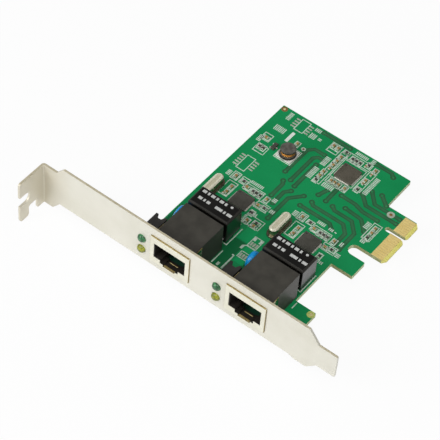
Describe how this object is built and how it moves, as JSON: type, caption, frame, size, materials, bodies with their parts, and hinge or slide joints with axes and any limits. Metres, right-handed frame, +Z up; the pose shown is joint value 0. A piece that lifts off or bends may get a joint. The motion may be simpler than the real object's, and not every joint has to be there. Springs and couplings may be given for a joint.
{
  "type": "network interface card",
  "caption": "Expansion card with twin network ports and status lamps on a full-height steel bracket, and a gold-fingered edge connector.",
  "frame": {"origin": "centre of the card's outer box in X and Y, level with the lowest point of the bracket's tab", "axes": "+X runs along the bracket from its screw tab to its tongue and is the way the card plugs in; +Y runs from the bracket's outer face into the machine; +Z is up from the component side of the board"},
  "size_m": [0.12, 0.0952, 0.0222],
  "materials": {
    "bracket_plate": "satin nickel plate over pressed steel",
    "screw_metal": "zinc-plated steel",
    "board_green": "green solder mask over glass-epoxy laminate",
    "contact_gold": "hard gold over nickel",
    "shell_plate": "bright nickel over brass sheet",
    "jack_black": "black moulded nylon",
    "spring_gold": "gold-plated spring wire",
    "lamp_green": "tinted clear resin",
    "lamp_yellow": "tinted clear resin",
    "tinned_lead": "tin plate",
    "case_black": "black transfer-moulded resin",
    "package_black": "black moulded resin",
    "crystal_can": "satin nickel can",
    "insulator": "black film insulator",
    "disc_blue": "blue dipped resin",
    "ferrite": "dark grey ferrite",
    "copper_wire": "enamelled copper wire",
    "base_white": "white terminal base",
    "capacitor_tan": "fired tan ceramic",
    "resistor_black": "dark glazed film"
  },
  "bodies": {
    "root": {"bracket": "bracket_plate", "bracket_screws": "screw_metal", "chip_capacitors": "capacitor_tan", "chip_resistors": "resistor_black", "chip_terminals": "tinned_lead", "circuit_board": "board_green", "contacts_component_side": "contact_gold", "contacts_solder_side": "contact_gold", "crystal_1": "crystal_can", "crystal_2": "crystal_can", "crystal_insulators": "insulator", "crystal_leads": "tinned_lead", "disc_capacitor_1": "disc_blue", "disc_capacitor_2": "disc_blue", "disc_capacitor_leads": "tinned_lead", "inductor_base": "base_white", "inductor_core": "ferrite", "inductor_terminals": "tinned_lead", "inductor_winding": "copper_wire", "lamp_green_1": "lamp_green", "lamp_green_2": "lamp_green", "lamp_holder_1": "jack_black", "lamp_holder_2": "jack_black", "lamp_leads_1": "tinned_lead", "lamp_leads_2": "tinned_lead", "lamp_yellow_1": "lamp_yellow", "lamp_yellow_2": "lamp_yellow", "port_1_contact_carrier": "jack_black", "port_1_contacts": "spring_gold", "port_1_housing": "jack_black", "port_1_shell": "shell_plate", "port_2_contact_carrier": "jack_black", "port_2_contacts": "spring_gold", "port_2_housing": "jack_black", "port_2_shell": "shell_plate", "regulator": "package_black", "regulator_leads": "tinned_lead", "switch_chip": "package_black", "switch_chip_leads": "tinned_lead", "transceiver_1": "package_black", "transceiver_1_leads": "tinned_lead", "transceiver_2": "package_black", "transceiver_2_leads": "tinned_lead", "transformer_1": "case_black", "transformer_2": "case_black", "transformer_leads_1": "tinned_lead", "transformer_leads_2": "tinned_lead"}
  },
  "joints": []
}
